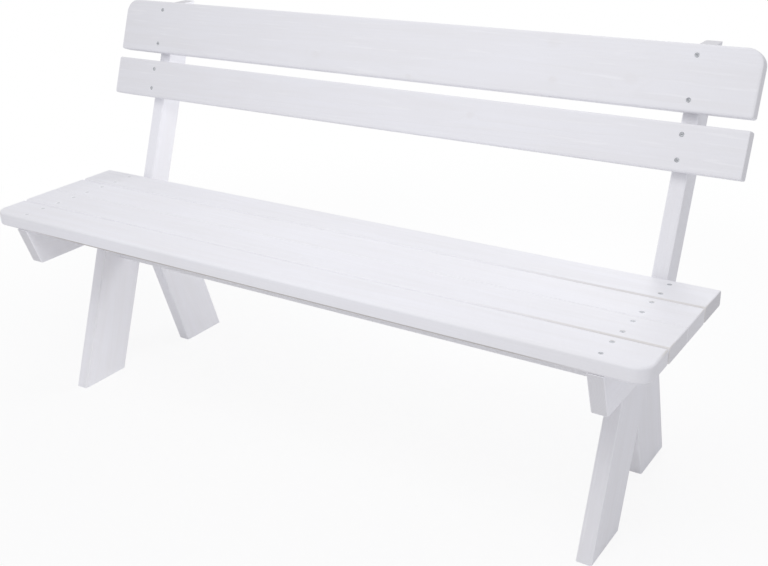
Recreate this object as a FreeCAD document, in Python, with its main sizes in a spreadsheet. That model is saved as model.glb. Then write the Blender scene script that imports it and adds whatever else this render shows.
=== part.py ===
import FreeCAD, Part
import os
import re
import Sketcher
from FreeCAD import Placement, Rotation, Vector

# Garden bench with a leaning back: four seat planks and two back planks on two crossed board frames.
# Millimetres and degrees. +X to the bench's right, -Y to its front, +Z up.
# The origin lies on the floor, under the middle of the bench's outer box.

# Driving dimensions: name, value, what it measures
SIZES = (
    ("bench_length", 1500, "seat and back planks, end to end"),
    ("seat_level", 442, "floor to the top of the seat"),
    ("board", 30, "thickness of every board"),
    ("seat_width", 85, "width of one seat plank"),
    ("seat_gap", 2.5, "gap between the two seat planks of a pair"),
    ("middle_gap", 0.5, "gap between the two pairs, in the seat's middle"),
    ("low_back_width", 85, "width of the lower back plank"),
    ("high_back_width", 118, "width of the upper back plank"),
    ("back_gap", 20, "gap between the two back planks"),
    ("back_start", 195, "from the seat's level up the slope to the lower back plank"),
    ("back_rake", 20.5, "lean of the back, the posts and the front legs"),
    ("rear_rake", 16.4, "lean of the rear legs"),
    ("post_width", 57, "depth of a back post"),
    ("leg_width", 116, "width of a leg board"),
    ("leg_lap", 54, "overlap of the two legs, cut level midway between their bolts"),
    ("end_overhang", 70, "end of the planks to the outer face of the bearer"),
    ("bearer_height", 85, "height of a seat bearer"),
    ("bearer_slant", 28, "inset of a bearer's lower corners from its upper ones"),
    ("bearer_tail", 2, "bearer showing behind the post"),
    ("stretcher_height", 116, "height of the stretcher"),
    ("stretcher_inset", 38, "back of the stretcher to the front leg's rear edge, at its underside"),
    ("stretcher_drop", 21, "underside of the seat to the top of the stretcher"),
    ("seat_post_gap", 2, "rear edge of the seat to the post, at the planks' underside"),
    ("leg_post_gap", 0.5, "rear edge of the front leg to the front of the post"),
    ("plank_round", 5, "rounding of a plank's long edges"),
    ("middle_round", 1.5, "rounding of the plank edges that meet in the seat's middle"),
    ("corner_round", 30, "rounded corners of the front and the top plank"),
    ("end_chamfer", 1.2, "chamfer of a plank's sawn end"),
    ("frame_round", 3, "rounding of a frame board's long edges"),
    ("bearer_nose", 6, "rounding of a bearer's lower corners"),
    ("screw_length", 60, "plank screw under its flat top"),
    ("screw_shank", 4.5, "plank screw across the thread"),
    ("screw_head", 9, "plank screw across the head"),
    ("screw_sink", 0.6, "depth of a head below the wood"),
    ("screw_inset", 20, "plank screw to the plank's long edge"),
    ("long_screw_length", 120, "stretcher screw under its flat top"),
    ("long_screw_shank", 6, "stretcher screw across the thread"),
    ("long_screw_head", 12, "stretcher screw across the head"),
    ("long_screw_inset", 27, "upper stretcher screw to the stretcher's top"),
    ("long_screw_pitch", 24, "upper to lower stretcher screw"),
    ("screw_play", 0.1, "across a screw hole, more than across the screw"),
    ("screw_point", 1.5, "length of a screw's point, in shanks"),
    ("tip_room", 1, "blind hole beyond its screw's tip"),
    ("recess_span", 0.5, "cross recess from end to end, in screw heads"),
    ("recess_arm", 0.11, "width of a recess arm, in screw heads"),
    ("recess_depth", 0.25, "depth of a cross recess, in screw heads"),
    ("bolt_length", 100, "frame bolt under its domed head"),
    ("bolt_shank", 8, "frame bolt across the thread"),
    ("bolt_head", 20, "frame bolt across the head"),
    ("bolt_dome", 4.5, "height of the domed head"),
    ("bolt_neck", 4.5, "depth of the square neck under the head"),
    ("bolt_chamfer", 1, "chamfer at the end of a bolt"),
    ("bolt_inset", 22, "upper bolt to the top of the frame"),
    ("bolt_pitch", 40, "upper to lower bolt"),
    ("bolt_play", 0.5, "across a bolt hole, more than across the bolt"),
    ("thread_play", 0.1, "across a nut's bore, more than across the bolt"),
    ("washer_width", 24, "washer across its rim"),
    ("washer_thickness", 2, "thickness of a washer"),
    ("nut_flats", 13, "nut across its flats"),
    ("nut_height", 6.5, "height of a nut"),
    ("nut_slope", 30, "slope of a nut's turned corners"),
)

# Seat planks: name, where it starts behind the seat's front edge, its edge at the seat's middle
SEAT_PLANKS = (
    ("front", "0", None),
    ("second", "seat_pitch", "seat_width"),
    ("third", "pair_pitch", "0"),
    ("rear", "pair_pitch + seat_pitch", None),
)

# Sizes that follow from the driving ones: name, formula, what it measures
LAYOUT = (
    ("seat_under", "seat_level - board", "level of the planks' underside"),
    ("seat_pitch", "seat_width + seat_gap", "first to second plank of a pair"),
    ("pair_pitch", "seat_pitch + seat_width + middle_gap", "first to second pair of seat planks"),
    ("seat_depth", "pair_pitch + seat_pitch + seat_width", "front to rear edge of the seat"),
    ("bearer_outer", "bench_length / 2 - end_overhang", "outer face of the bearer from the middle"),
    ("bearer_middle", "bearer_outer - board / 2", "outer board layer from the middle"),
    ("post_middle", "bearer_middle - board", "layer of the front leg and the post"),
    ("rear_leg_middle", "post_middle - board", "inner board layer"),
    ("frame_inner", "rear_leg_middle - board / 2", "inner face of the rear leg"),
    ("front_slope", "tan(back_rake)", "run of the back, posts and front legs per rise"),
    ("rear_slope", "tan(rear_rake)", "run of the rear legs per rise"),
    ("leg_run", "leg_width / cos(back_rake)", "front leg cut level, front to back"),
    ("rear_leg_run", "leg_width / cos(rear_rake)", "rear leg cut level, front to back"),
    ("post_run", "post_width / cos(back_rake)", "post cut level, front to back"),
    ("post_foot", "seat_depth + seat_post_gap - seat_under * front_slope", "post's front drawn to the floor"),
    ("plank_foot", "post_foot - board / cos(back_rake)", "back planks' front drawn to the floor"),
    ("leg_rear", "post_foot - leg_post_gap", "back of the front foot"),
    ("front_foot", "leg_rear - leg_run", "front of the front foot"),
    ("upper_bolt", "seat_under - bolt_inset", "level of the upper bolts"),
    ("lower_bolt", "upper_bolt - bolt_pitch", "level of the lower bolts"),
    ("leg_crossing", "(upper_bolt + lower_bolt) / 2", "level midway between the bolts"),
    ("crossing_run", "leg_crossing * (front_slope + rear_slope)", "how far the legs close in up to there"),
    ("rear_foot", "leg_rear + crossing_run - leg_lap", "front of the rear foot"),
    ("bearer_under", "seat_under - bearer_height", "underside of the bearer"),
    ("bearer_back", "post_foot + post_run + seat_under * front_slope + bearer_tail", "back of the bearer"),
    ("low_back_edge", "seat_level / cos(back_rake) + back_start", "lower back plank, up the slope"),
    ("high_back_edge", "low_back_edge + low_back_width + back_gap", "upper back plank, up the slope"),
    ("back_top", "high_back_edge + high_back_width", "top of the back, up the slope"),
    ("post_top", "back_top * cos(back_rake) - board * sin(back_rake)", "level of the post's top"),
    ("post_back", "post_foot + post_run + post_top * front_slope", "rear top corner of the post"),
    ("middle_y", "max(post_back; rear_foot + rear_leg_run; bearer_back) / 2", "middle, from the seat front"),
    ("plank_turn", "90 - back_rake", "turn that stands a plank up on the back's slope"),
    ("stretcher_top", "seat_under - stretcher_drop", "top of the stretcher"),
    ("stretcher_under", "stretcher_top - stretcher_height", "underside of the stretcher"),
    ("stretcher_end", "post_middle - board / 2", "end of the stretcher from the middle"),
    ("stretcher_back", "leg_rear + stretcher_under * front_slope - stretcher_inset", "back of the stretcher"),
    ("stretcher_front", "stretcher_back - board", "front of the stretcher"),
    ("upper_long_screw", "stretcher_top - long_screw_inset", "level of the upper stretcher screw"),
    ("lower_long_screw", "upper_long_screw - long_screw_pitch", "level of the lower stretcher screw"),
    ("long_screw_y", "stretcher_back - board / 2", "middle of the stretcher's thickness"),
    ("bolt_hole", "bolt_shank + bolt_play", "across a bolt hole"),
    ("screw_hole", "screw_shank + screw_play", "across a plank screw's hole"),
    ("long_screw_hole", "long_screw_shank + screw_play", "across a stretcher screw's hole"),
)

X_AXIS = Vector(1, 0, 0)
Y_AXIS = Vector(0, 1, 0)
# A turned piece starts from this angle, because a turn of nothing has no axis
ANY_ANGLE = 1
# Two lengths closer than this are the same
TOUCH = 1e-6

doc = FreeCAD.newDocument("bench")
sheet = doc.addObject("Spreadsheet::Sheet", "sizes")
for row, (alias, value, meaning) in enumerate(SIZES, 1):
    sheet.set(f"A{row}", alias)
    sheet.set(f"B{row}", str(value))
    sheet.set(f"C{row}", meaning)
    sheet.setAlias(f"B{row}", alias)
doc.recompute()

layout = doc.addObject("App::VarSet", "layout")
OWNER = {name: "sizes." for name, _, _ in SIZES}
OWNER.update({name: "layout." for name, _, _ in LAYOUT})


def formula(text):
    """Put the owner's name before each size in a formula."""
    return re.sub(r"[a-z][a-z_]*", lambda word: OWNER.get(word[0], "") + word[0], text)


def value_of(text):
    """Work out a formula."""
    return float(layout.evalExpression(formula(text)))


def bind(item, target, text):
    """Tie one property of an object to a formula."""
    item.setExpression(target, formula(text))


for name, rule, meaning in LAYOUT:
    layout.addProperty("App::PropertyFloat", name, "Layout", meaning)
    layout.setExpression(name, re.sub(r"\blayout\.", "", formula(rule)))
doc.recompute()


def new_sketch(body, role, offset="0"):
    """Start a sketch on an origin plane of the body, moved off it along its normal."""
    sketch = body.newObject("Sketcher::SketchObject", body.Label + "_sketch")
    plane = next(item for item in body.Origin.OriginFeatures if item.Role == role)
    sketch.AttachmentSupport = (plane, [""])
    sketch.MapMode = "FlatFace"
    if offset != "0":
        bind(sketch, "AttachmentOffset.Base.z", offset)
    return sketch


def fix_point(sketch, piece, end, point):
    """Dimension one end of a line, or a circle's centre, from the sketch's origin."""
    for kind, text in zip(("DistanceX", "DistanceY"), point):
        number = sketch.addConstraint(Sketcher.Constraint(kind, -1, 1, piece, end, value_of(text)))
        bind(sketch, f"Constraints[{number}]", text)


def at(point):
    """Give a pair of formulas as a place in the sketch."""
    return Vector(value_of(point[0]), value_of(point[1]), 0)


def add_outline(sketch, corners):
    """Draw a closed outline of straight lines through corners that are pairs of formulas."""
    first = sketch.GeometryCount
    count = len(corners)
    for number, corner in enumerate(corners):
        sketch.addGeometry(Part.LineSegment(at(corner), at(corners[(number + 1) % count])))
    for number, corner in enumerate(corners):
        following = first + (number + 1) % count
        sketch.addConstraint(Sketcher.Constraint("Coincident", first + number, 2, following, 1))
        fix_point(sketch, first + number, 1, corner)


def add_block(sketch, left, right, low, high):
    """Draw a rectangle between four formulas."""
    add_outline(sketch, ((left, low), (right, low), (right, high), (left, high)))


def add_circles(sketch, diameter, centres):
    """Draw circles of one diameter."""
    for centre in centres:
        radius = value_of(diameter) / 2
        number = sketch.addGeometry(Part.Circle(at(centre), Vector(0, 0, 1), radius))
        width = sketch.addConstraint(Sketcher.Constraint("Diameter", number, 2 * radius))
        bind(sketch, f"Constraints[{width}]", diameter)
        fix_point(sketch, number, 3, centre)


def add_feature(body, kind, sketch):
    """Add a pad, pocket, hole or turned feature that follows a sketch."""
    doc.recompute()
    feature = body.newObject("PartDesign::" + kind, f"{body.Label}_{kind.lower()}")
    feature.Profile = sketch
    return feature


def pad(body, sketch, length, side="Symmetric", reverse=False):
    """Give a closed outline its thickness."""
    feature = add_feature(body, "Pad", sketch)
    feature.SideType = side
    feature.Reversed = reverse
    bind(feature, "Length", length)
    doc.recompute()
    return feature


def pocket(body, sketch, depth=None, reverse=False):
    """Cut an outline in, to a depth or right through both ways."""
    feature = add_feature(body, "Pocket", sketch)
    feature.Reversed = reverse
    if depth is None:
        feature.SideType = "Symmetric"
        feature.Type = "ThroughAll"
    else:
        bind(feature, "Length", depth)
    doc.recompute()
    return feature


def countersunk_holes(body, sketch, diameter, head):
    """Drill right through from the sketch, with a cone that seats a sunk screw head."""
    feature = add_feature(body, "Hole", sketch)
    feature.ThreadType = "None"
    feature.DepthType = "ThroughAll"
    feature.HoleCutType = "Countersink"
    feature.HoleCutCustomValues = True
    feature.HoleCutCountersinkAngle = 90
    bind(feature, "Diameter", diameter)
    bind(feature, "HoleCutDiameter", f"{head} + 2 * screw_sink + screw_play")
    doc.recompute()
    return feature


def revolve(body, kind, sketch):
    """Turn a half section about the sketch's upright axis, as a solid or a groove."""
    feature = add_feature(body, kind, sketch)
    feature.ReferenceAxis = (sketch, ["V_Axis"])
    feature.Angle = 360
    doc.recompute()


def dress_edges(body, kind, target, size, wanted):
    """Work the edges of the body's last feature for which wanted(edge) holds."""
    base = body.Tip
    names = [f"Edge{number}" for number, edge in enumerate(base.Shape.Edges, 1) if wanted(edge)]
    feature = body.newObject("PartDesign::" + kind, f"{body.Label}_{kind.lower()}")
    feature.Base = (base, names)
    bind(feature, target, size)
    doc.recompute()


def round_edges(body, radius, wanted):
    """Round the wanted edges."""
    dress_edges(body, "Fillet", "Radius", radius, wanted)


def chamfer_edges(body, width, wanted):
    """Chamfer the wanted edges."""
    dress_edges(body, "Chamfer", "Size", width, wanted)


def runs_along(axis):
    """Pick straight edges along one axis."""
    def wanted(edge):
        line = edge.Vertexes[-1].Point - edge.Vertexes[0].Point
        return line.Length > TOUCH and abs(line.normalize().dot(axis)) > 1 - TOUCH
    return wanted


def lies_at(axis, *places):
    """Pick edges that lie whole in one of the planes across an axis."""
    def wanted(edge):
        heights = [vertex.Point.dot(axis) for vertex in edge.Vertexes]
        return any(all(abs(height - place) < TOUCH for height in heights) for place in places)
    return wanted


def new_body(label):
    """Start a sub-part."""
    body = doc.addObject("PartDesign::Body", label)
    body.Label = label
    return body


def place(item, x="0", y="0", z="0", turn=None, axis=X_AXIS):
    """Place a sub-part: y is measured from the seat's front edge, z from the floor."""
    item.Placement = Placement(Vector(), Rotation(axis, ANY_ANGLE if turn else 0))
    bind(item, "Placement.Base.x", x)
    bind(item, "Placement.Base.y", f"{y} - middle_y")
    bind(item, "Placement.Base.z", z)
    if turn:
        bind(item, "Placement.Rotation.Angle", turn)


# Planks lie face up while they are made: y across the width from 0, z = 0 on the face that shows
def sawn_plank(body, width, middle_edge=None):
    """Plank with rounded long edges, less so at the seat's middle, and chamfered ends."""
    sketch = new_sketch(body, "YZ_Plane")
    add_block(sketch, "0", width, "-board", "0")
    pad(body, sketch, "bench_length")
    long_edges = runs_along(X_AXIS)
    for side in ("0", width):
        radius = "middle_round" if side == middle_edge else "plank_round"
        at_side = lies_at(Y_AXIS, value_of(side))
        round_edges(body, radius, lambda edge: long_edges(edge) and at_side(edge))
    half = value_of("bench_length / 2")
    chamfer_edges(body, "end_chamfer", lies_at(X_AXIS, -half, half))


def cornered_plank(body, width, outer_edge):
    """Plank with two rounded corners on its outer edge and one rounding all the way round."""
    sketch = new_sketch(body, "XY_Plane")
    add_block(sketch, "-bench_length / 2", "bench_length / 2", "0", width)
    pad(body, sketch, "board", "One side", reverse=True)
    upright = runs_along(Vector(0, 0, 1))
    outer = lies_at(Y_AXIS, value_of(outer_edge))
    round_edges(body, "corner_round", lambda edge: upright(edge) and outer(edge))
    faces = lies_at(Vector(0, 0, 1), 0, -value_of("board"))
    inner = lies_at(Y_AXIS, value_of(width) - value_of(outer_edge))
    round_edges(body, "plank_round", lambda edge: faces(edge) or (upright(edge) and inner(edge)))


def screw_holes(body, width, middle):
    """Two countersunk holes near each end, over the middle of the board that carries the plank."""
    sketch = new_sketch(body, "XY_Plane")
    rows = ("screw_inset", f"{width} - screw_inset")
    add_circles(sketch, "screw_hole", [(side + middle, row) for side in ("-", "") for row in rows])
    countersunk_holes(body, sketch, "screw_hole", "screw_head")


def seat_screw_rows():
    """Distances of the seat screws from the seat's front edge."""
    insets = ("screw_inset", "seat_width - screw_inset")
    return [f"{start} + {inset}" for _, start, _ in SEAT_PLANKS for inset in insets]


def back_screw_rows():
    """Distances of the back screws up the slope, from where the planks' front meets the floor."""
    planks = (("low_back_edge", "low_back_width"), ("high_back_edge", "high_back_width"))
    insets = ("screw_inset", "{} - screw_inset")
    return [f"{edge} + {inset.format(width)}" for edge, width in planks for inset in insets]


def seat_planks():
    """Two pairs of seat planks side by side, which meet closely in the middle."""
    for name, start, middle_edge in SEAT_PLANKS:
        body = new_body("seat_plank_" + name)
        if name == "front":
            cornered_plank(body, "seat_width", "0")
        else:
            sawn_plank(body, "seat_width", middle_edge)
        screw_holes(body, "seat_width", "bearer_middle")
        place(body, y=start, z="seat_level")


def back_planks():
    """Lower and upper back plank, stood up on the slope of the posts."""
    lower = new_body("back_plank_lower")
    sawn_plank(lower, "low_back_width")
    upper = new_body("back_plank_upper")
    cornered_plank(upper, "high_back_width", "high_back_width")
    planks = ((lower, "low_back_width", "low_back_edge"), (upper, "high_back_width", "high_back_edge"))
    for body, width, edge in planks:
        screw_holes(body, width, "post_middle")
        rise = f"{edge} * cos(back_rake)"
        place(body, y=f"plank_foot + {edge} * sin(back_rake)", z=rise, turn="plank_turn")


# Frame boards are drawn in the bench's side view: y from the seat's front edge, z from the floor
def bolts_in_leg():
    """Bolts midway between the rear edge of the front leg and the front edge of the rear leg."""
    front = "leg_rear + {0} * front_slope"
    rear = "rear_foot - {0} * rear_slope"
    levels = ("upper_bolt", "lower_bolt")
    return [(f"({front.format(level)} + {rear.format(level)}) / 2", level) for level in levels]


def bolts_in_post():
    """Bolts on the middle line of the post."""
    levels = ("upper_bolt", "lower_bolt")
    return [(f"post_foot + post_run / 2 + {level} * front_slope", level) for level in levels]


def stretcher_screws():
    """Screws into the middle of the stretcher's end."""
    return [("long_screw_y", level) for level in ("upper_long_screw", "lower_long_screw")]


def frame_board(label, middle, corners, holes=()):
    """Board drawn in side view, with rounded long edges and bolt holes."""
    body = new_body(label)
    sketch = new_sketch(body, "YZ_Plane")
    add_outline(sketch, corners)
    pad(body, sketch, "board")
    half = value_of("board / 2")
    sawn = value_of(corners[0][1]), value_of(corners[2][1])
    in_face = lies_at(X_AXIS, -half, half)
    at_saw = lies_at(Vector(0, 0, 1), *sawn)
    round_edges(body, "frame_round", lambda edge: in_face(edge) and not at_saw(edge))
    for diameter, centres in holes:
        sketch = new_sketch(body, "YZ_Plane")
        add_circles(sketch, diameter, centres)
        pocket(body, sketch)
    place(body, x=middle)
    return body


def leg(label, middle, foot, run, slope, holes):
    """Leaning leg from the floor to the planks, sawn level at both ends."""
    top = f"{foot} + seat_under * {slope}"
    corners = ((foot, "0"), (f"{foot} + {run}", "0"), (f"{top} + {run}", "seat_under"), (top, "seat_under"))
    return frame_board(label, middle, corners, holes)


def front_leg(label):
    """Front leg, leaning back, in the middle layer."""
    holes = (("bolt_hole", bolts_in_leg()), ("long_screw_hole", stretcher_screws()))
    return leg(label, "post_middle", "front_foot", "leg_run", "front_slope", holes)


def rear_leg(label):
    """Rear leg, leaning forward across the front leg and the post, in the inner layer."""
    holes = (("bolt_hole", bolts_in_leg() + bolts_in_post()),)
    return leg(label, "rear_leg_middle", "rear_foot", "rear_leg_run", "-rear_slope", holes)


def bearer(label):
    """Seat bearer in the outer layer, its ends slanted in towards the bottom."""
    body = new_body(label)
    sketch = new_sketch(body, "YZ_Plane")
    low_front = ("bearer_slant", "bearer_under")
    low_back = ("bearer_back - bearer_slant", "bearer_under")
    add_outline(sketch, (low_front, low_back, ("bearer_back", "seat_under"), ("0", "seat_under")))
    pad(body, sketch, "board")
    cross = runs_along(X_AXIS)
    under = lies_at(Vector(0, 0, 1), value_of("bearer_under"))
    round_edges(body, "bearer_nose", lambda edge: cross(edge) and under(edge))
    half = value_of("board / 2")
    round_edges(body, "frame_round", lies_at(X_AXIS, -half, half))

    bolts = new_sketch(body, "YZ_Plane")
    add_circles(bolts, "bolt_hole", bolts_in_leg() + bolts_in_post())
    pocket(body, bolts)
    necks = new_sketch(body, "YZ_Plane", "board / 2")
    half_neck = "bolt_hole / 2"
    for across, level in bolts_in_leg() + bolts_in_post():
        sides = (f"{across} - {half_neck}", f"{across} + {half_neck}")
        add_block(necks, *sides, f"{level} - {half_neck}", f"{level} + {half_neck}")
    pocket(body, necks, "bolt_neck + bolt_play")
    heads = new_sketch(body, "YZ_Plane", "board / 2")
    add_circles(heads, "long_screw_hole", stretcher_screws())
    countersunk_holes(body, heads, "long_screw_hole", "long_screw_head")
    pilots = new_sketch(body, "XY_Plane", "seat_under")
    add_circles(pilots, "screw_hole", [("0", row) for row in seat_screw_rows()])
    pocket(body, pilots, "screw_length + screw_sink - board + tip_room")
    place(body, x="bearer_middle")
    return body


def back_post(label):
    """Back post behind the front leg, sawn level at both ends, drilled for the back screws."""
    body = new_body(label)
    sketch = new_sketch(body, "YZ_Plane")
    slope_rise = "post_width * front_slope"
    foot = "bearer_under / cos(back_rake)"
    top = "post_top / cos(back_rake)"
    rear = (("post_width", f"{foot} + {slope_rise}"), ("post_width", f"{top} + {slope_rise}"))
    add_outline(sketch, (("0", foot), *rear, ("0", top)))
    pad(body, sketch, "board")
    round_edges(body, "frame_round", runs_along(Vector(0, 0, 1)))

    bolts = new_sketch(body, "YZ_Plane")
    rise = "({} + post_width / 2 * sin(back_rake)) / cos(back_rake)"
    levels = ("upper_bolt", "lower_bolt")
    add_circles(bolts, "bolt_hole", [("post_width / 2", rise.format(level)) for level in levels])
    pocket(body, bolts)
    pilots = new_sketch(body, "XZ_Plane")
    drop = "board * front_slope"
    add_circles(pilots, "screw_hole", [("0", f"{row} - {drop}") for row in back_screw_rows()])
    pocket(body, pilots, "screw_length + screw_sink - board + tip_room")
    place(body, x="post_middle", y="post_foot", turn="-back_rake")
    return body


def stretcher():
    """Board on edge between the two front legs, with a pair of pilot holes in each end."""
    body = new_body("stretcher")
    sketch = new_sketch(body, "YZ_Plane")
    add_block(sketch, "stretcher_front", "stretcher_back", "stretcher_under", "stretcher_top")
    pad(body, sketch, "2 * stretcher_end")
    round_edges(body, "frame_round", runs_along(X_AXIS))
    ends = new_sketch(body, "YZ_Plane", "stretcher_end")
    add_circles(ends, "long_screw_hole", stretcher_screws())
    pilots = pocket(body, ends, "long_screw_length + screw_sink - 2 * board + tip_room")
    mirror = body.newObject("PartDesign::Mirrored", "stretcher_mirror")
    mirror.Originals = [pilots]
    middle = next(item for item in body.Origin.OriginFeatures if item.Role == "YZ_Plane")
    mirror.MirrorPlane = (middle, [""])
    body.Tip = mirror
    place(body)


# Fasteners are made once each, head up and centred on z, and linked into place
def wood_screw(label, length, shank, head):
    """Countersunk wood screw with a sharp point and a cross recess, its flat top at z = 0."""
    body = new_body(label)
    sketch = new_sketch(body, "XZ_Plane")
    rim = (f"{head} / 2", "0")
    neck = (f"{shank} / 2", f"-({head} - {shank}) / 2")
    taper = (f"{shank} / 2", f"screw_point * {shank} - {length}")
    add_outline(sketch, (("0", "0"), rim, neck, taper, ("0", f"-{length}")))
    revolve(body, "Revolution", sketch)
    recess = new_sketch(body, "XY_Plane")
    reach = f"recess_span / 2 * {head}"
    half_arm = f"recess_arm / 2 * {head}"
    add_block(recess, f"-{reach}", reach, f"-{half_arm}", half_arm)
    slot = pocket(body, recess, f"recess_depth * {head}")
    cross = body.newObject("PartDesign::PolarPattern", label + "_cross")
    cross.Originals = [slot]
    cross.Axis = (recess, ["N_Axis"])
    cross.Angle = 180
    cross.Occurrences = 2
    body.Tip = cross
    return body


def carriage_bolt():
    """Bolt with a domed head above z = 0, and a square neck and a shank below it."""
    body = new_body("carriage_bolt")
    sketch = new_sketch(body, "XZ_Plane")
    crown = ("0", "bolt_dome")
    rim = ("bolt_head / 2", "0")
    shank = (("bolt_shank / 2", "0"), ("bolt_shank / 2", "bolt_chamfer - bolt_length"))
    end = ("bolt_shank / 2 - bolt_chamfer", "-bolt_length")
    corners = (rim, *shank, end, ("0", "-bolt_length"), crown)
    for start, stop in zip(corners, corners[1:]):
        sketch.addGeometry(Part.LineSegment(at(start), at(stop)))
    last = sketch.GeometryCount - 1
    dome_radius = "(bolt_dome ^ 2 + (bolt_head / 2) ^ 2) / (2 * bolt_dome)"
    radius = value_of(dome_radius)
    over = Vector(value_of("bolt_head / 4"), value_of("bolt_dome") - radius, 0)
    over.y += (radius ** 2 - over.x ** 2) ** 0.5
    dome = sketch.addGeometry(Part.Arc(at(rim), over, at(crown)))
    for number, corner in enumerate(corners[:-1]):
        fix_point(sketch, number, 1, corner)
        if number < last:
            sketch.addConstraint(Sketcher.Constraint("Coincident", number, 2, number + 1, 1))
    fix_point(sketch, last, 2, crown)
    sketch.addConstraint(Sketcher.Constraint("Coincident", dome, 1, 0, 1))
    sketch.addConstraint(Sketcher.Constraint("Coincident", dome, 2, last, 2))
    curve = sketch.addConstraint(Sketcher.Constraint("Radius", dome, radius))
    bind(sketch, f"Constraints[{curve}]", dome_radius)
    revolve(body, "Revolution", sketch)
    neck = new_sketch(body, "XY_Plane")
    add_block(neck, "-bolt_shank / 2", "bolt_shank / 2", "-bolt_shank / 2", "bolt_shank / 2")
    pad(body, neck, "bolt_neck", "One side", reverse=True)
    return body


def washer():
    """Flat ring below z = 0."""
    body = new_body("washer")
    sketch = new_sketch(body, "XY_Plane")
    add_circles(sketch, "washer_width", (("0", "0"),))
    add_circles(sketch, "bolt_hole", (("0", "0"),))
    pad(body, sketch, "washer_thickness", "One side", reverse=True)
    return body


def nut():
    """Hexagon nut below z = 0, its corners turned down on both faces."""
    body = new_body("nut")
    corner = "nut_flats / sqrt(3)"
    half = f"{corner} / 2"
    flat = "nut_flats / 2"
    sketch = new_sketch(body, "XY_Plane")
    right = ((half, f"-{flat}"), (corner, "0"), (half, flat))
    left = ((f"-{half}", flat), (f"-{corner}", "0"), (f"-{half}", f"-{flat}"))
    add_outline(sketch, right + left)
    add_circles(sketch, "bolt_shank + thread_play", (("0", "0"),))
    pad(body, sketch, "nut_height", "One side", reverse=True)
    turn = new_sketch(body, "XZ_Plane")
    rise = f"({corner} - {flat}) * tan(nut_slope)"
    add_outline(turn, ((flat, "0"), (corner, "0"), (corner, f"-{rise}")))
    add_outline(turn, ((flat, "-nut_height"), (corner, f"{rise} - nut_height"), (corner, "-nut_height")))
    revolve(body, "Groove", turn)
    return body


def group(label, master, spots, turn=None, axis=X_AXIS):
    """Link one fastener to each of its places and keep them in one node."""
    links = []
    for number, (x, y, z) in enumerate(spots, 1):
        link = doc.addObject("App::Link", f"{label}_{number}")
        link.LinkedObject = master
        place(link, x, y, z, turn, axis)
        links.append(link)
    compound = doc.addObject("Part::Compound", label)
    compound.Label = label
    compound.Links = links
    return compound


def fasteners():
    """Right-hand groups of screws, bolts, washers and nuts."""
    plank_screw = wood_screw("plank_screw", "screw_length", "screw_shank", "screw_head")
    long_screw = wood_screw("long_screw", "long_screw_length", "long_screw_shank", "long_screw_head")
    seat_spots = [("bearer_middle", row, "seat_level - screw_sink") for row in seat_screw_rows()]
    back_spots = []
    for row in back_screw_rows():
        ahead = f"plank_foot + ({row}) * sin(back_rake) + screw_sink * cos(back_rake)"
        back_spots.append(("post_middle", ahead, f"({row}) * cos(back_rake) - screw_sink * sin(back_rake)"))
    stretcher_spots = [("bearer_outer - screw_sink", *spot) for spot in stretcher_screws()]
    bolts = bolts_in_leg() + bolts_in_post()
    bolt_spots = [("bearer_outer", *spot) for spot in bolts]
    washer_spots = [("frame_inner", *spot) for spot in bolts]
    nut_spots = [("frame_inner - washer_thickness", *spot) for spot in bolts]
    return (
        group("seat_screws_right", plank_screw, seat_spots),
        group("back_screws_right", plank_screw, back_spots, "plank_turn"),
        group("stretcher_screws_right", long_screw, stretcher_spots, "90", Y_AXIS),
        group("frame_bolts_right", carriage_bolt(), bolt_spots, "90", Y_AXIS),
        group("frame_washers_right", washer(), washer_spots, "90", Y_AXIS),
        group("frame_nuts_right", nut(), nut_spots, "90", Y_AXIS),
    )


def left_of(piece):
    """Mirror a right-hand sub-part to the bench's left end."""
    label = piece.Label.replace("_right", "_left")
    mirror = doc.addObject("Part::Mirroring", label)
    mirror.Label = label
    mirror.Source = piece
    mirror.Normal = X_AXIS
    return mirror


def write_parts(labels):
    """Check the whole document, then write each sub-part to its own file."""
    doc.recompute()
    for item in doc.Objects:
        faults = {"Invalid", "Error"} & set(item.State)
        if faults:
            raise RuntimeError(f"{item.Label} is {', '.join(faults)}")
    parts = [doc.getObjectsByLabel(label)[0] for label in labels]
    for part in parts:
        if part.Shape.isNull() or not part.Shape.isValid():
            raise RuntimeError(f"{part.Label} has no sound shape")
    os.makedirs("parts", exist_ok=True)
    for part in parts:
        part.Shape.exportStep(f"parts/{part.Label}.step")
        print(f"{part.Label:24} solids {len(part.Shape.Solids)}  volume {part.Shape.Volume:12.1f}")


seat_planks()
back_planks()
stretcher()
right_boards = (
    bearer("seat_bearer_right"),
    front_leg("front_leg_right"),
    rear_leg("rear_leg_right"),
    back_post("back_post_right"),
)
right_side = right_boards + fasteners()
left_side = tuple(left_of(piece) for piece in right_side)
singles = ["seat_plank_" + name for name, _, _ in SEAT_PLANKS]
singles += ["back_plank_lower", "back_plank_upper", "stretcher"]
write_parts(singles + [piece.Label for piece in right_side + left_side])
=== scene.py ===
import math

import bpy
from mathutils import Matrix, Vector


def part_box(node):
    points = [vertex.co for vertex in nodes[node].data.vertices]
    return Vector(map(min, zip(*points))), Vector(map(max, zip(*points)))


# Looks of a garden bench in white-glazed pine, with zinc screws and bolts, in a plain pale studio.
# Metres, in the CAD model's frame: +X to the bench's right, -Y to its front, +Z up.

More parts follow.
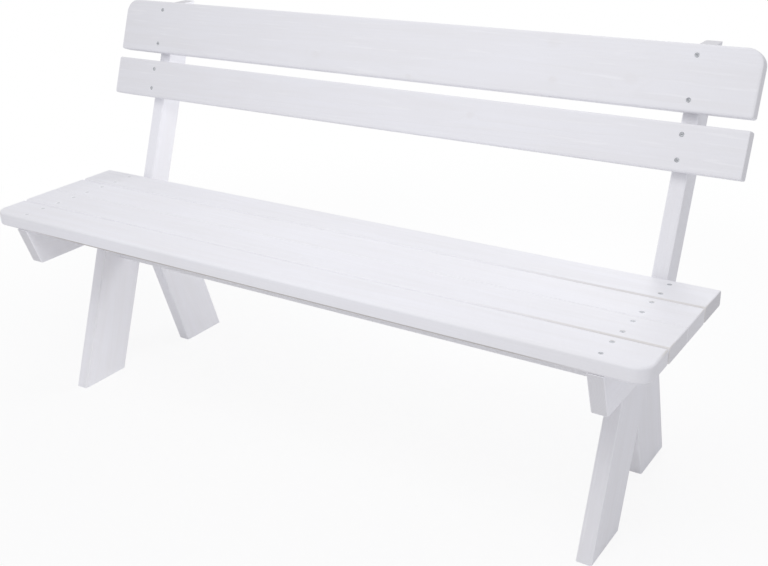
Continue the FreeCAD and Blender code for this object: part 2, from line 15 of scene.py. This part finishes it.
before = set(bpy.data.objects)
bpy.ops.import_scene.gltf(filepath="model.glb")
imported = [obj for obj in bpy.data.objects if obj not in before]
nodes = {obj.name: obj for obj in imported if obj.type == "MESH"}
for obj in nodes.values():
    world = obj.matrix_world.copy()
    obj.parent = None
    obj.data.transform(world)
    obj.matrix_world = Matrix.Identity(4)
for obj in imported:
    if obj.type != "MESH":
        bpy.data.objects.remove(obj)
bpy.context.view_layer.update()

# Camera: place, and turns about X, Y and Z in degrees
CAMERA_PLACE = (1.2091, -1.6542, 1.1951)
CAMERA_TURNS = (66.814, 1.715, 33.316)
LENS = 50.015
SENSOR = 36

# Lean of the boards, in degrees
BACK_RAKE = 20.5
REAR_RAKE = 16.4

# Pine: spacing of the growth rings, how far the pith and the rings stray, how far the rings flow round a
# knot, how far a knot's rim strays, and a knot's height to its length
RING_SPACING = 0.0042
PITH_STRAY = 0.034
RING_STRAY = 0.005
RING_SWIRL = 0.003
KNOT_STRAY = 0.006
KNOT_SQUASH = 0.75

# Noises in the wood and its glaze: lumps per metre along, across and through the board
PITH_LUMPS = (1.6, 5, 5)
RING_LUMPS = (5, 40, 40)
KNOT_LUMPS = (90, 90, 90)
COVER_LUMPS = (5, 16, 16)
STREAK_LUMPS = (2, 60, 60)
BRUSH_LUMPS = (5, 420, 420)
FIBRE_LUMPS = (9, 130, 130)

# First board's place in the noises, and the distance from each board's place to the next one's
SEED_START = 1.7
SEED_STEP = 7.3

# How much of the wood shows through the glaze: in the rings, thin places, streaks and brush strokes
RING_SHOWS = 0.05
THIN_SHOWS = 0.08
STREAK_SHOWS = 0.05
BRUSH_SHOWS = 0.05

# Relief of the rings, brush strokes and raised fibres, and how deep the rings lie in a sawn end
RING_RELIEF = 0.00009
BRUSH_RELIEF = 0.00012
FIBRE_RELIEF = 0.00005
END_RELIEF = 0.0002

# Roughness of the glaze, what a sawn end and the painted-shade downward edges add to it, and its gloss
GLAZE_ROUGHNESS = 0.57
END_ROUGHNESS = 0.25
UNDER_ROUGHNESS = 0.35
GLAZE_GLOSS = 0.35

# Seat planks, from their middle. Along them: painted shade on the joint edges to the right, painted
# highlight on the edges to the left, and painted shade on the downward edges in the middle. Across them:
# the side that is beside the shaded joint.
JOINT_SHADE_SPAN = (0.3, 0.67)
HIGHLIGHT_SPAN = (0.57, 0.22)
UNDER_SHADE_SPAN = (0.7, 0.5)
JOINT_SPAN = (0, 0.03)
JOINT_SHADE = 0.44

# Zinc: lumps of its clouds and scratches per metre, relief of the scratches, gloss and share of metal
CLOUD_LUMPS = (260, 260, 260)
SCRATCH_LUMPS = (2400, 900, 1500)
SCRATCH_RELIEF = 0.00001
ZINC_GLOSS = 0.5
ZINC_METAL = 0.85

# Studio: the world's light, and the floor, whose shadows fade out over a span from the bench's middle
WORLD_LEVEL = 0.67
WORLD_TINT = (0.963, 0.963, 1.0, 1)
WHITE = (1, 1, 1, 1)
FLOOR_SIZE = 30
FLOOR_PAINT = (0.93, 0.93, 0.935, 1)
FLOOR_GLOW = 0.86
SHADOW_SPAN = (0.5, 2.2)


def srgb(red, green, blue):
    """Turn a colour as it is seen, 0 to 255, into the shader's own numbers."""
    levels = [shade / 255 for shade in (red, green, blue)]
    return [v / 12.92 if v < 0.04045 else ((v + 0.055) / 1.055) ** 2.4 for v in levels] + [1]


GLAZE_LEVELS = (246, 246, 250)
# Lighter glaze for raised fibres, also used as a painted highlight on edges
FIBRE_GLAZE_AND_HIGHLIGHT = srgb(252, 252, 254)
# Thin glaze where the wood shows, also used as painted shade on the seat joints
THIN_GLAZE_AND_SHADE = srgb(214, 209, 200)
# Painted shade on the seat planks' downward edges
UNDERSIDE_SHADE = srgb(202, 198, 194)
KNOT = srgb(196, 184, 168)
SAWN_END = srgb(216, 215, 217)
# Pale zinc: a painted reflection on the left seat's screw heads
REFLECTION_ZINC = srgb(232, 233, 235)
BRIGHT_ZINC = srgb(208, 210, 214)
ZINC = srgb(184, 186, 190)
ZINC_DULL = srgb(152, 154, 158)


class Socket:
    """Output of a node, on which sums can be written."""

    def __init__(self, tree, output):
        self.tree = tree
        self.output = output

    def __add__(self, other):
        return self.tree.math("ADD", self, other)

    def __sub__(self, other):
        return self.tree.math("SUBTRACT", self, other)

    def __rsub__(self, other):
        return self.tree.math("SUBTRACT", other, self)

    def __mul__(self, other):
        return self.tree.math("MULTIPLY", self, other)

    def __truediv__(self, other):
        return self.tree.math("DIVIDE", self, other)

    def __pow__(self, other):
        return self.tree.math("POWER", self, other)

    def __abs__(self):
        return self.tree.math("ABSOLUTE", self)

    __radd__ = __add__
    __rmul__ = __mul__


class NodeTree:
    """Nodes of a material or of the world, emptied and built up again."""

    def __init__(self, owner):
        owner.use_nodes = True
        self.tree = owner.node_tree
        self.tree.nodes.clear()

    def add(self, kind, settings=None, inputs=None, output=0):
        """Add a node: its settings, then values or links for its inputs, and hand back one output."""
        node = self.tree.nodes.new("ShaderNode" + kind)
        for name, value in (settings or {}).items():
            setattr(node, name, value)
        for name, value in (inputs or {}).items():
            if isinstance(value, Socket):
                self.tree.links.new(value.output, node.inputs[name])
            else:
                node.inputs[name].default_value = value
        return Socket(self, node.outputs[output]) if node.outputs else None

    def math(self, operation, *values):
        """Add a sum on numbers."""
        return self.add("Math", {"operation": operation}, dict(enumerate(values)))

    def vector(self, operation, *values, output=0):
        """Add a sum on vectors."""
        return self.add("VectorMath", {"operation": operation}, dict(enumerate(values)), output)

    def smooth(self, value, low, high):
        """Rise smoothly from 0 at low to 1 at high."""
        settings = {"interpolation_type": "SMOOTHSTEP"}
        return self.add("MapRange", settings, {"Value": value, "From Min": low, "From Max": high})

    def noise(self, place, lumps, detail=2, roughness=0.5):
        """Cloudy noise from 0 to 1, with so many lumps per metre each way."""
        scaled = self.vector("MULTIPLY", place, lumps)
        inputs = {"Vector": scaled, "Scale": 1, "Detail": detail, "Roughness": roughness}
        return self.add("TexNoise", inputs=inputs)

    def blend(self, amount, first, second):
        """Mix two colours."""
        return self.add("Mix", {"data_type": "RGBA"}, {0: amount, 6: first, 7: second}, 2)

    def surface(self, colour, roughness, height, metallic, gloss):
        """End a material in one shader; height is the relief in metres."""
        bump = self.add("Bump", inputs={"Height": height, "Distance": 1, "Strength": 1})
        shader = self.add("BsdfPrincipled", inputs={
            "Base Color": colour, "Roughness": roughness, "Metallic": metallic,
            "Specular IOR Level": gloss, "Normal": bump})
        self.add("OutputMaterial", inputs={"Surface": shader})


def new_material(name, piece):
    """Start a material and put it on a piece."""
    material = bpy.data.materials.new(name)
    piece.data.materials.clear()
    piece.data.materials.append(material)
    return NodeTree(material)


def lean(degrees):
    """Axes of a board that leans back in the side view: along, across and through it."""
    s, c = math.sin(math.radians(degrees)), math.cos(math.radians(degrees))
    return Vector((0, s, c)), Vector((0, c, -s)), Vector((-1, 0, 0))


def upright_plank(degrees):
    """Axes of a plank that lies along the bench on the back's slope."""
    s, c = math.sin(math.radians(degrees)), math.cos(math.radians(degrees))
    return Vector((1, 0, 0)), Vector((0, s, c)), Vector((0, -c, s))


def knots_in_board(tree, place, grain, knots):
    """Marks of the knots, which run through the board, and the swirls that the rings make round them."""
    mark, swirl = 0, 0
    for knot_x, knot_y, radius in knots:
        off = tree.vector("SUBTRACT", place, (knot_x, knot_y, 0))
        off = tree.vector("MULTIPLY", off, (KNOT_SQUASH, 1, 0))
        away = tree.vector("LENGTH", off, output="Value")
        edge = away + (tree.noise(grain, KNOT_LUMPS) - 0.5) * KNOT_STRAY
        mark = tree.smooth(edge, radius * 1.5, radius * 0.4) + mark
        swirl = tree.smooth(away, radius * 4, radius * 0.5) + swirl
    return mark, swirl


def late_wood(tree, grain, spot, pith, tilt, swirl):
    """Dark parts of the growth rings, about a pith that wanders beside and below the board."""
    x, y, z = spot
    wander = (tree.noise(grain, PITH_LUMPS, 2) - 0.5) * PITH_STRAY
    waver = (tree.noise(grain, RING_LUMPS, 3) - 0.5) * RING_STRAY
    side = y - pith[0] + wander
    depth = z - pith[1] + x * tilt + wander * 0.6
    radius = tree.math("SQRT", side * side + depth * depth) + waver + swirl * RING_SWIRL
    ring = tree.math("FRACT", radius / RING_SPACING)
    return (ring ** 3) * tree.smooth(ring, 1.0, 0.9)


def paint_board(name, axes, pith, tilt, knots=(), painted_shade=0, end_shade=0.6, joint_shade_side=0, edge_highlight=0):
    """White glaze over pine: growth rings, knots, brush strokes, sawn ends, painted edge highlight and
    shade.

    The axes run along, across and through the board. Its glaze is greyer by painted_shade levels of painted
    shade, and lighter as painted light where that is negative. Its edges get a painted highlight by
    edge_highlight, and its sawn ends are bare by end_shade. A seat plank also has painted shade on its
    downward edges and on one edge beside a joint: the front one if joint_shade_side is -1, the rear one if
    it is 1.
    """
    low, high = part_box(name)
    turn = Matrix(axes).transposed().to_euler()
    tree = new_material(name + "_glaze", nodes[name])
    place = tree.add("TexCoord", output="Object")
    place = tree.add("Mapping", {"vector_type": "TEXTURE"},
                     {"Vector": place, "Location": (low + high) / 2, "Rotation": turn})
    x, y, z = [tree.add("SeparateXYZ", inputs={0: place}, output=part) for part in range(3)]

    # Each board takes its noises from another place
    seed = (SEED_STEP * list(nodes).index(name) + SEED_START,) * 3
    grain = tree.vector("ADD", place, seed)
    knot, swirl = knots_in_board(tree, place, grain, knots)
    late = late_wood(tree, grain, (x, y, z), pith, tilt, swirl)

    # Thick and thin glaze, streaks in it, the brush's strokes along the grain and raised fibres
    cover = tree.smooth(tree.noise(grain, COVER_LUMPS, 3), 0.3, 0.75)
    streak = tree.smooth(tree.noise(grain, STREAK_LUMPS, 2), 0.35, 0.7)
    brush = tree.noise(grain, BRUSH_LUMPS, 3, 0.6)
    fibre = tree.smooth(tree.noise(grain, FIBRE_LUMPS, 2), 0.56, 0.72)

    # Edges are where the surface turns between the board's faces
    normal = tree.add("NewGeometry", output="Normal")
    facing = [abs(tree.vector("DOT_PRODUCT", normal, axis, output="Value")) for axis in axes]
    flat = tree.math("MAXIMUM", tree.math("MAXIMUM", facing[0], facing[1]), facing[2])
    arris = tree.smooth(flat, 0.99, 0.85)
    end = tree.smooth(facing[0], 0.75, 0.95)

    bare_and_joint_shade = (late * RING_SHOWS * (0.4 + cover) + (1 - cover) * THIN_SHOWS + streak * STREAK_SHOWS
            + (brush - 0.5) * BRUSH_SHOWS)
    under_shade = 0
    # Seat planks: painted shade on joint edges to the right and on downward edges, painted highlight to the
    # left
    if joint_shade_side:
        shaded_joint = tree.smooth(y * joint_shade_side, *JOINT_SPAN)
        bare_and_joint_shade = bare_and_joint_shade + arris * tree.smooth(x, *JOINT_SHADE_SPAN) * shaded_joint * JOINT_SHADE
        edge_highlight = tree.smooth(x, *HIGHLIGHT_SPAN) * edge_highlight
        rising = tree.vector("DOT_PRODUCT", normal, axes[2], output="Value")
        under_shade = tree.smooth(rising, -0.02, -0.3) * tree.smooth(abs(x), *UNDER_SHADE_SPAN)

    # The glaze colour carries painted shade by the board's levels, painted light where they are negative
    colour = tree.blend(bare_and_joint_shade, srgb(*(level - painted_shade for level in GLAZE_LEVELS)), THIN_GLAZE_AND_SHADE)
    # Raised fibres lighten the glaze; the edges get a painted highlight
    colour = tree.blend(fibre * (1 - cover) * 0.3 + arris * edge_highlight, colour, FIBRE_GLAZE_AND_HIGHLIGHT)
    if joint_shade_side:
        # Painted shade on the downward edges
        colour = tree.blend(under_shade, colour, UNDERSIDE_SHADE)
    if knots:
        colour = tree.blend(knot * (0.035 + cover * 0.045), colour, KNOT)
    colour = tree.blend(end * (end_shade + late * 0.08), colour, SAWN_END)
    roughness = (GLAZE_ROUGHNESS + (brush - 0.5) * 0.16 + late * 0.08 + end * END_ROUGHNESS
                 - arris * 0.05 + under_shade * UNDER_ROUGHNESS)
    height = late * RING_RELIEF + brush * BRUSH_RELIEF + fibre * FIBRE_RELIEF - end * late * END_RELIEF
    tree.surface(colour, roughness, height, 0, GLAZE_GLOSS)


def metal(name, shade, dull, roughness):
    """Zinc that has dulled in clouds, with fine scratches."""
    tree = new_material(name + "_zinc", nodes[name])
    place = tree.add("TexCoord", output="Object")
    cloud = tree.smooth(tree.noise(place, CLOUD_LUMPS, 3), 0.35, 0.65)
    scratch = tree.noise(place, SCRATCH_LUMPS, 2)
    colour = tree.blend(cloud * 0.8, shade, dull)
    roughness = roughness + cloud * 0.15 + (scratch - 0.5) * 0.1
    tree.surface(colour, roughness, scratch * SCRATCH_RELIEF, ZINC_METAL, ZINC_GLOSS)


def light_world():
    """World that lights the bench evenly and is plain white where it is seen."""
    world = bpy.data.worlds.new("studio")
    bpy.context.scene.world = world
    sky = NodeTree(world)
    kinds = ("Is Camera Ray", "Is Glossy Ray", "Is Transmission Ray")
    rays = [sky.add("LightPath", output=kind) for kind in kinds]
    seen = sky.math("MINIMUM", rays[0] + rays[1] + rays[2], 1)
    ambient = sky.add("Background", inputs={"Color": WORLD_TINT, "Strength": WORLD_LEVEL})
    white = sky.add("Background", inputs={"Color": WHITE, "Strength": 1})
    mixed = sky.add("MixShader", inputs={0: seen, 1: ambient, 2: white})
    sky.add("OutputWorld", inputs={"Surface": mixed})


def lay_floor():
    """Pale floor that shows the bench's shadow and is plain white further off."""
    bpy.ops.mesh.primitive_plane_add(size=FLOOR_SIZE)
    floor = bpy.context.object
    floor.name = "floor"
    ground = new_material("pale_floor", floor)
    spot = ground.add("TexCoord", output="Object")
    away = ground.vector("LENGTH", spot, output="Value")
    plain = ground.smooth(away, *SHADOW_SPAN)
    seen = ground.add("LightPath", output="Is Camera Ray")
    share = seen * (FLOOR_GLOW + plain * (1 - FLOOR_GLOW))
    paint = ground.add("BsdfDiffuse", inputs={"Color": FLOOR_PAINT})
    glow = ground.add("Emission", inputs={"Color": WHITE, "Strength": 1})
    mixed = ground.add("MixShader", inputs={0: share, 1: paint, 2: glow})
    ground.add("OutputMaterial", inputs={"Surface": mixed})


def lamp(name, place, aim, width, depth, power):
    """Soft rectangular lamp turned towards a point."""
    light = bpy.data.lights.new(name, "AREA")
    light.shape = "RECTANGLE"
    light.size, light.size_y = width, depth
    light.energy = power
    holder = bpy.data.objects.new(name, light)
    holder.location = place
    holder.rotation_mode = "QUATERNION"
    holder.rotation_quaternion = (Vector(aim) - Vector(place)).to_track_quat("-Z", "Y")
    holder.visible_camera = False
    bpy.context.scene.collection.objects.link(holder)


# Axes of the seat planks, the stretcher, the bearers and the back planks
FLAT = (Vector((1, 0, 0)), Vector((0, 1, 0)), Vector((0, 0, 1)))
ON_EDGE = (Vector((1, 0, 0)), Vector((0, 0, 1)), Vector((0, -1, 0)))
TO_THE_BACK = (Vector((0, 1, 0)), Vector((0, 0, 1)), Vector((1, 0, 0)))
SLOPE = upright_plank(BACK_RAKE)

# Knots of the back planks: place along and across from the plank's middle, and radius
LOWER_KNOTS = ((0.217, 0.009, 0.006),)
UPPER_KNOTS = (
    (-0.176, -0.027, 0.008),
    (0.063, -0.052, 0.005),
    (0.376, -0.028, 0.006),
    (0.365, 0.040, 0.010),
    (0.525, -0.012, 0.010),
)

# Boards: their axes, the pith across and through from the board's middle, and the board's tilt to it
# The rear seat plank and the back planks are greyer by painted shade
paint_board("seat_plank_front", FLAT, (0.012, -0.062), 0.010, end_shade=0.2, joint_shade_side=1, edge_highlight=0.1)
paint_board("seat_plank_second", FLAT, (-0.018, -0.071), 0.014, end_shade=0.5, joint_shade_side=-1, edge_highlight=0.5)
paint_board("seat_plank_third", FLAT, (0.024, -0.055), -0.012, end_shade=0.4, joint_shade_side=1, edge_highlight=0.5)
paint_board("seat_plank_rear", FLAT, (-0.010, -0.083), 0.009, painted_shade=2, end_shade=0.9, joint_shade_side=-1,
            edge_highlight=0.5)
paint_board("back_plank_lower", SLOPE, (0.020, -0.067), 0.011, LOWER_KNOTS, painted_shade=6, end_shade=0.3,
            edge_highlight=0.3)
paint_board("back_plank_upper", SLOPE, (-0.030, -0.090), -0.010, UPPER_KNOTS, painted_shade=7, end_shade=0.2,
            edge_highlight=0.3)
paint_board("stretcher", ON_EDGE, (0.030, -0.060), 0.012)

# Ends of the bench: name, the pith's side, levels of painted shade on the front leg and the post (painted
# light where negative), the same for the rear leg, and the zinc of the screw heads from pale to dull,
# paler on the left as a painted reflection and duller on the right as painted shade
ENDS = (
    ("left", -1, -5, 3, (REFLECTION_ZINC, BRIGHT_ZINC, ZINC)),
    ("right", 1, 6, 8, (BRIGHT_ZINC, ZINC, ZINC_DULL)),
)
for side, turn, painted_shade, rear_painted_shade, lit_and_shaded_zinc in ENDS:
    # The bearers are lighter by painted light; the right end's boards are greyer by painted shade than the
    # left's
    paint_board("seat_bearer_" + side, TO_THE_BACK, (0.015 * turn, -0.05), 0.03, painted_shade=-5)
    paint_board("front_leg_" + side, lean(BACK_RAKE), (0.022 * turn, -0.066), 0.03, painted_shade=painted_shade, edge_highlight=0.4)
    paint_board("rear_leg_" + side, lean(-REAR_RAKE), (-0.02, -0.058 * turn), -0.025, painted_shade=rear_painted_shade,
                edge_highlight=0.4)
    paint_board("back_post_" + side, lean(BACK_RAKE), (0.012, -0.07 * turn), 0.02, painted_shade=painted_shade, edge_highlight=0.4)
    # Screw heads: paler zinc on the left is a painted reflection, duller zinc on the right painted shade
    metal("seat_screws_" + side, *lit_and_shaded_zinc[:2], 0.5)
    metal("back_screws_" + side, *lit_and_shaded_zinc[1:], 0.55)
    metal("stretcher_screws_" + side, ZINC, ZINC_DULL, 0.55)
    for piece in ("frame_bolts_", "frame_washers_", "frame_nuts_"):
        metal(piece + side, ZINC, ZINC_DULL, 0.30)

# Studio, with its lamps by name, place, point they are turned to, width, depth and watts
light_world()
lay_floor()
lamp("key", (0.3, -1.0, 1.85), (-0.2, 0, 0.4), 1.0, 0.8, 8.2)
lamp("back_light", (0.15, 1.2, 0.9), (-0.6, 0, 0.3), 0.8, 0.8, 4.8)

camera = bpy.data.objects.new("camera", bpy.data.cameras.new("camera"))
camera.location = CAMERA_PLACE
camera.rotation_euler = [math.radians(turn) for turn in CAMERA_TURNS]
camera.data.lens = LENS
camera.data.sensor_width = SENSOR
bpy.context.scene.collection.objects.link(camera)
bpy.context.scene.camera = camera
bpy.context.scene.view_settings.view_transform = "Standard"
